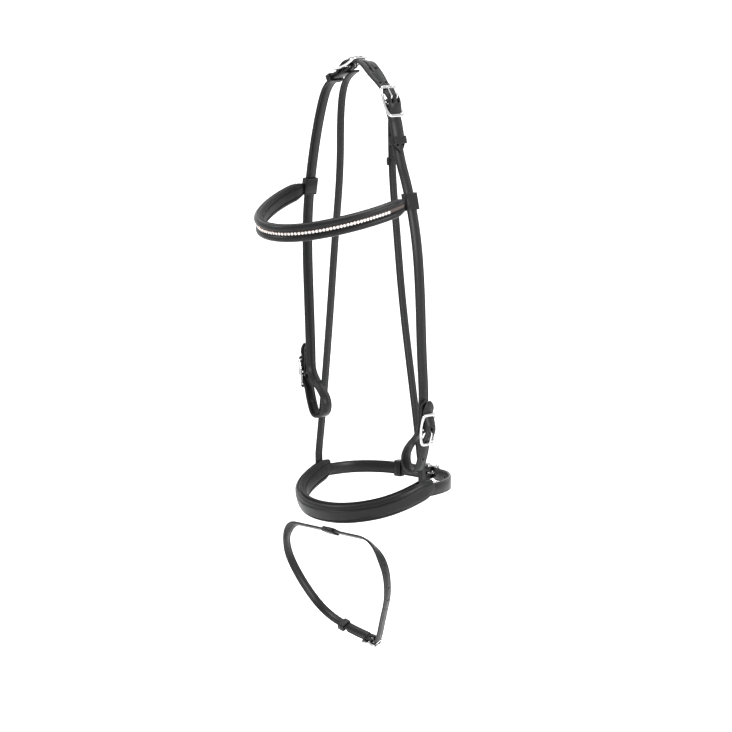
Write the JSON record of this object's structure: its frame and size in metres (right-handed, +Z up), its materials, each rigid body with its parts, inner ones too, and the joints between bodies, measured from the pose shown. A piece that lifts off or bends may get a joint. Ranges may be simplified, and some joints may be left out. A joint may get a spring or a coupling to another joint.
{
  "type": "snaffle bridle",
  "caption": "Leather snaffle bridle with padded stone-set browband, padded noseband with flash strap, and buckled cheekpieces with bit loops.",
  "frame": {"origin": "underside of the crown strap where it lies on the poll", "axes": "+Z up, the horse's face looks towards -Y, the horse's near (left) side is +X"},
  "size_m": [0.2292, 0.273, 0.7431],
  "materials": {
    "strap_leather": "semi-gloss dyed bridle leather",
    "padding_leather": "soft grained leather",
    "polished_steel": "polished stainless",
    "stone_setting": "woven setting tape",
    "stones": "cut glass"
  },
  "bodies": {
    "headpiece": {"crown_strap": "strap_leather", "near_crown_buckle": "polished_steel", "far_crown_buckle": "polished_steel", "near_cheekpiece": "strap_leather", "far_cheekpiece": "strap_leather", "near_cheek_chape": "strap_leather", "far_cheek_chape": "strap_leather", "near_cheek_buckle": "polished_steel", "far_cheek_buckle": "polished_steel", "near_hanger": "strap_leather", "far_hanger": "strap_leather"},
    "near_crown_prong_front": {"near_crown_prong_front": "polished_steel"},
    "near_crown_prong_rear": {"near_crown_prong_rear": "polished_steel"},
    "far_crown_prong_front": {"far_crown_prong_front": "polished_steel"},
    "far_crown_prong_rear": {"far_crown_prong_rear": "polished_steel"},
    "near_cheek_prong": {"near_cheek_prong": "polished_steel"},
    "far_cheek_prong": {"far_cheek_prong": "polished_steel"},
    "near_crown_keeper": {"near_crown_keeper": "strap_leather"},
    "far_crown_keeper": {"far_crown_keeper": "strap_leather"},
    "near_hanger_keeper": {"near_hanger_keeper": "strap_leather"},
    "browband": {"browband_strap": "strap_leather", "browband_lining": "padding_leather", "browband_upper_roll": "strap_leather", "browband_lower_roll": "strap_leather", "browband_channel": "stone_setting", "browband_stones": "stones", "near_browband_loop": "strap_leather", "far_browband_loop": "strap_leather"},
    "noseband": {"noseband_core": "strap_leather", "noseband_face": "strap_leather", "noseband_padding": "padding_leather", "chin_strap_near": "strap_leather", "chin_strap_far": "strap_leather", "chin_buckle": "polished_steel"},
    "chin_prong": {"chin_prong": "polished_steel"},
    "chin_keeper": {"chin_keeper": "strap_leather"},
    "flash_loop": {"flash_loop": "strap_leather"},
    "flash_strap": {"flash_strap": "strap_leather", "flash_buckle": "polished_steel"},
    "flash_prong": {"flash_prong": "polished_steel"},
    "flash_keeper": {"flash_keeper": "strap_leather"}
  },
  "joints": [
    {"name": "near_crown_prong_front_lift", "type": "hinge", "parent": "headpiece", "child": "near_crown_prong_front", "pos_m": [0.0493, 0, -0.0456], "axis": [0, 1, 0], "range_deg": [0, 38]},
    {"name": "near_crown_prong_rear_lift", "type": "hinge", "parent": "headpiece", "child": "near_crown_prong_rear", "pos_m": [0.0493, 0, -0.0456], "axis": [0, 1, 0], "range_deg": [0, 38]},
    {"name": "far_crown_prong_front_lift", "type": "hinge", "parent": "headpiece", "child": "far_crown_prong_front", "pos_m": [-0.02, 0, -0.0036], "axis": [0, -1, 0], "range_deg": [0, 38]},
    {"name": "far_crown_prong_rear_lift", "type": "hinge", "parent": "headpiece", "child": "far_crown_prong_rear", "pos_m": [-0.02, 0, -0.0036], "axis": [0, -1, 0], "range_deg": [0, 38]},
    {"name": "near_cheek_prong_lift", "type": "hinge", "parent": "headpiece", "child": "near_cheek_prong", "pos_m": [0.112, 0, -0.442], "axis": [0, -1, 0], "range_deg": [0, 38]},
    {"name": "far_cheek_prong_lift", "type": "hinge", "parent": "headpiece", "child": "far_cheek_prong", "pos_m": [-0.1006, 0, -0.394], "axis": [0, 1, 0], "range_deg": [0, 38]},
    {"name": "chin_prong_lift", "type": "hinge", "parent": "noseband", "child": "chin_prong", "pos_m": [0.01, 0.111, -0.526], "axis": [0, 0, 1], "range_deg": [0, 38]},
    {"name": "flash_prong_lift", "type": "hinge", "parent": "flash_strap", "child": "flash_prong", "pos_m": [0.016, 0.0013, -0.72512], "axis": [0, 0.9205, 0.3907], "range_deg": [0, 38]},
    {"name": "near_crown_keeper_slide", "type": "slide", "parent": "headpiece", "child": "near_crown_keeper", "axis": [0.2151, 0, -0.9766], "range_m": [-0.007, 0.004]},
    {"name": "far_crown_keeper_slide", "type": "slide", "parent": "headpiece", "child": "far_crown_keeper", "axis": [-0.8956, 0, -0.4449], "range_m": [-0.0015, 0.0015]},
    {"name": "near_hanger_keeper_slide", "type": "slide", "parent": "headpiece", "child": "near_hanger_keeper", "axis": [0.0034, 0.0236, -0.9997], "range_m": [-0.003, 0.003]},
    {"name": "browband_tilt", "type": "hinge", "parent": "headpiece", "child": "browband", "pos_m": [-0.0055, 0, -0.161], "axis": [0.999, 0, -0.0446], "range_deg": [-5, 5]},
    {"name": "noseband_tilt", "type": "hinge", "parent": "headpiece", "child": "noseband", "pos_m": [0, 0.01648, -0.526], "axis": [1, 0, 0], "range_deg": [-10, 10]},
    {"name": "chin_keeper_slide", "type": "slide", "parent": "noseband", "child": "chin_keeper", "axis": [-0.9934, -0.1149, 0], "range_m": [-0.006, 0.006]},
    {"name": "flash_loop_swing", "type": "hinge", "parent": "noseband", "child": "flash_loop", "pos_m": [0.006, -0.062, -0.5675], "axis": [1, 0, 0], "range_deg": [-10, 25]},
    {"name": "flash_strap_slide", "type": "slide", "parent": "flash_loop", "child": "flash_strap", "axis": [1, 0, 0], "range_m": [-0.012, 0.012]},
    {"name": "flash_keeper_slide", "type": "slide", "parent": "flash_strap", "child": "flash_keeper", "axis": [-0.9622, -0.1064, 0.2508], "range_m": [-0.004, 0.004]}
  ]
}
